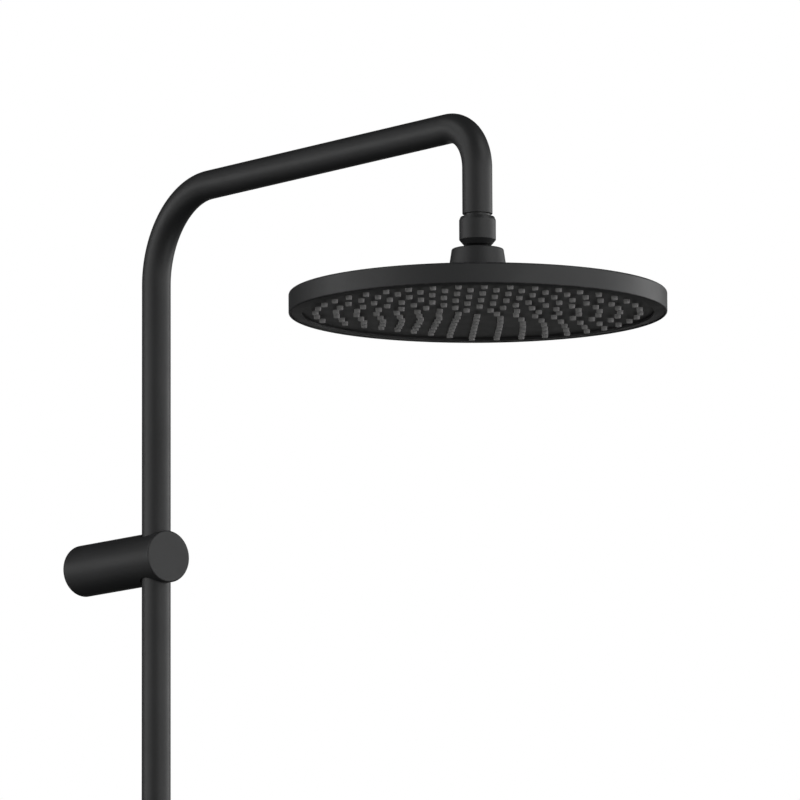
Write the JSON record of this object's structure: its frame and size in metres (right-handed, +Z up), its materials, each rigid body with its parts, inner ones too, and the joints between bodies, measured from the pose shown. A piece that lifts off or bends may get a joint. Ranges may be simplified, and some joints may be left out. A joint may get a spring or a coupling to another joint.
{
  "type": "rainfall shower column",
  "caption": "Wall-held shower column: a bent riser tube in a round bracket carries a flat round rain head on a ball joint, with a union nut at its inlet.",
  "frame": {"origin": "centre of the bracket's rear face, on the wall", "axes": "+Y into the wall, the arm reaches towards -Y, +Z up along the riser, X across"},
  "size_m": [0.25, 0.5705, 0.915],
  "materials": {
    "base_metal": "plain turned brass, hidden",
    "black_metal": "matte black powder coat",
    "screw_steel": "plain stainless",
    "liner_plastic": "moulded black acetal",
    "seal_rubber": "plain black rubber",
    "nipple_metal": "matte black, hidden thread",
    "ball_metal": "matte black",
    "head_metal": "matte black powder coat",
    "chamber_plastic": "moulded plastic, hidden",
    "nozzle_silicone": "grey silicone",
    "face_plastic": "satin black moulded plate"
  },
  "bodies": {
    "wall_bracket": {"mounting_boss": "base_metal", "bracket_body": "black_metal", "base_grub_screw": "screw_steel", "clamp_screw": "screw_steel"},
    "liner": {"bracket_liner": "liner_plastic"},
    "riser": {"riser_tube": "black_metal", "riser_collar": "base_metal", "union_washer": "seal_rubber", "arm_nipple": "nipple_metal", "filter_screen": "screw_steel", "swivel_nut": "black_metal", "upper_seat": "seal_rubber"},
    "inlet_nut": {"union_nut": "black_metal"},
    "seat_ring": {"lower_seat": "liner_plastic"},
    "head": {"swivel_ball": "ball_metal", "stem_oring": "seal_rubber", "neck_boss": "black_metal", "spigot_washer": "seal_rubber", "boss_gasket": "seal_rubber", "top_shell": "head_metal", "chamber_plate": "chamber_plastic", "flow_regulator": "liner_plastic", "chamber_seal": "seal_rubber", "chamber_screws": "screw_steel", "nozzle_mat": "nozzle_silicone", "face_plate": "face_plastic", "face_ring": "face_plastic"}
  },
  "joints": [
    {"name": "riser_swivel", "type": "hinge", "parent": "wall_bracket", "child": "liner", "pos_m": [0, -0.0855, 0], "axis": [0, 0, 1], "range_deg": [-80, 80]},
    {"name": "riser_height", "type": "slide", "parent": "liner", "child": "riser", "axis": [0, 0, 1], "range_m": [-0.1, 0.1]},
    {"name": "inlet_nut_turn", "type": "hinge", "parent": "riser", "child": "inlet_nut", "pos_m": [0, -0.0855, -0.645], "axis": [0, 0, 1], "continuous": true},
    {"name": "head_turn", "type": "hinge", "parent": "riser", "child": "seat_ring", "pos_m": [0, -0.4455, 0.1762], "axis": [0, 0, 1], "continuous": true},
    {"name": "head_tilt", "type": "hinge", "parent": "seat_ring", "child": "head", "pos_m": [0, -0.4455, 0.1762], "axis": [1, 0, 0], "range_deg": [-15, 15]}
  ]
}
